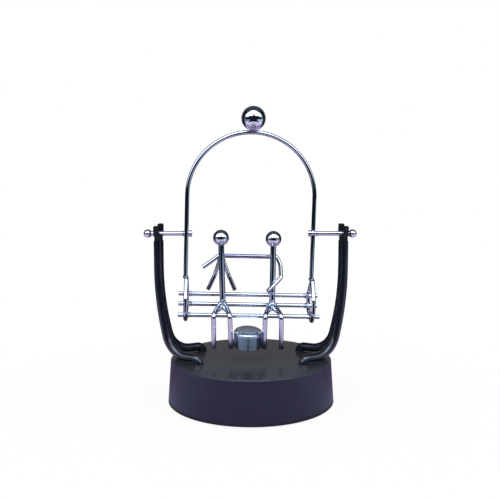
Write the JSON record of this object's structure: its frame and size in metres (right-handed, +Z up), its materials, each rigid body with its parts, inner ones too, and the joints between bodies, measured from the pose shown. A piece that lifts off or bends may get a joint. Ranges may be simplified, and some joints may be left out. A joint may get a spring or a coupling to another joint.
{
  "type": "perpetual motion desk toy",
  "caption": "Perpetual motion desk toy: chrome wire figures on a bench that hangs in an arch swing on tube arms above a round black battery base with a drive coil.",
  "frame": {"origin": "middle of the base, on the surface that the rubber feet stand on", "axes": "+Z up; X along the axle of the swing; -Y towards the front, where the figures look"},
  "size_m": [0.152, 0.12, 0.2112],
  "materials": {
    "black_plastic": "satin moulded ABS",
    "black_tube": "satin black lacquer on steel tube",
    "black_fork": "moulded, slightly glossy",
    "chrome": "bright plated steel wire",
    "chrome_ball": "polished plated steel ball",
    "chrome_can": "plated drawn steel",
    "ferrite": "ground ferrite",
    "rubber": "soft, matt",
    "cell_sleeve": "plain sleeve on a steel can",
    "nickel": "nickel-plated spring steel",
    "screw_steel": "zinc plated",
    "iron": "bare turned iron",
    "copper": "enamelled copper wire",
    "bobbin_plastic": "natural nylon",
    "board": "solder-masked laminate",
    "black_parts": "moulded epoxy",
    "capacitor_sleeve": "shrunk sleeve",
    "resistor_body": "lacquered",
    "lead_sleeve": "soft insulation, one red and one black"
  },
  "bodies": {
    "base": {"base_housing": "black_plastic", "bottom_cover": "black_plastic", "foot_front": "rubber", "foot_rear": "rubber", "foot_left": "rubber", "foot_right": "rubber", "cell_1": "cell_sleeve", "cell_2": "cell_sleeve", "cell_3": "cell_sleeve", "cell_4": "cell_sleeve", "contact_strips": "nickel", "contact_springs": "nickel", "coil_bobbin": "bobbin_plastic", "coil_winding": "copper", "coil_core": "iron", "circuit_board": "board", "transistor": "black_parts", "capacitor": "capacitor_sleeve", "resistors": "resistor_body", "board_screws": "screw_steel", "cover_screws": "screw_steel", "tube_clips": "nickel", "battery_leads": "lead_sleeve", "coil_leads": "copper", "arm_front_left": "black_tube", "arm_rear_left": "black_tube", "arm_front_right": "black_tube", "arm_rear_right": "black_tube", "fork_left": "black_fork", "fork_right": "black_fork"},
    "swing": {"arch": "chrome", "finial_ball": "chrome_ball", "axle_left": "chrome", "axle_right": "chrome", "axle_ball_left": "chrome_ball", "axle_ball_right": "chrome_ball", "axle_collar_left": "chrome", "axle_collar_right": "chrome", "bench_side_left": "chrome", "bench_side_right": "chrome", "back_rod_upper": "chrome", "back_rod_lower": "chrome", "seat_rod": "chrome", "head_left": "chrome_ball", "head_right": "chrome_ball", "torso_left": "chrome", "torso_right": "chrome", "legs_left": "chrome", "legs_right": "chrome", "arms_wire": "chrome", "plaits": "chrome", "magnet_can": "chrome_can", "magnet_disc": "ferrite"},
    "battery_door": {"battery_door": "black_plastic"}
  },
  "joints": [
    {"name": "swing_hinge", "type": "hinge", "parent": "base", "child": "swing", "pos_m": [0, 0, 0.1215], "axis": [1, 0, 0], "continuous": true},
    {"name": "battery_door_slide", "type": "slide", "parent": "base", "child": "battery_door", "axis": [0, 1, 0], "range_m": [0, 0.006]}
  ]
}
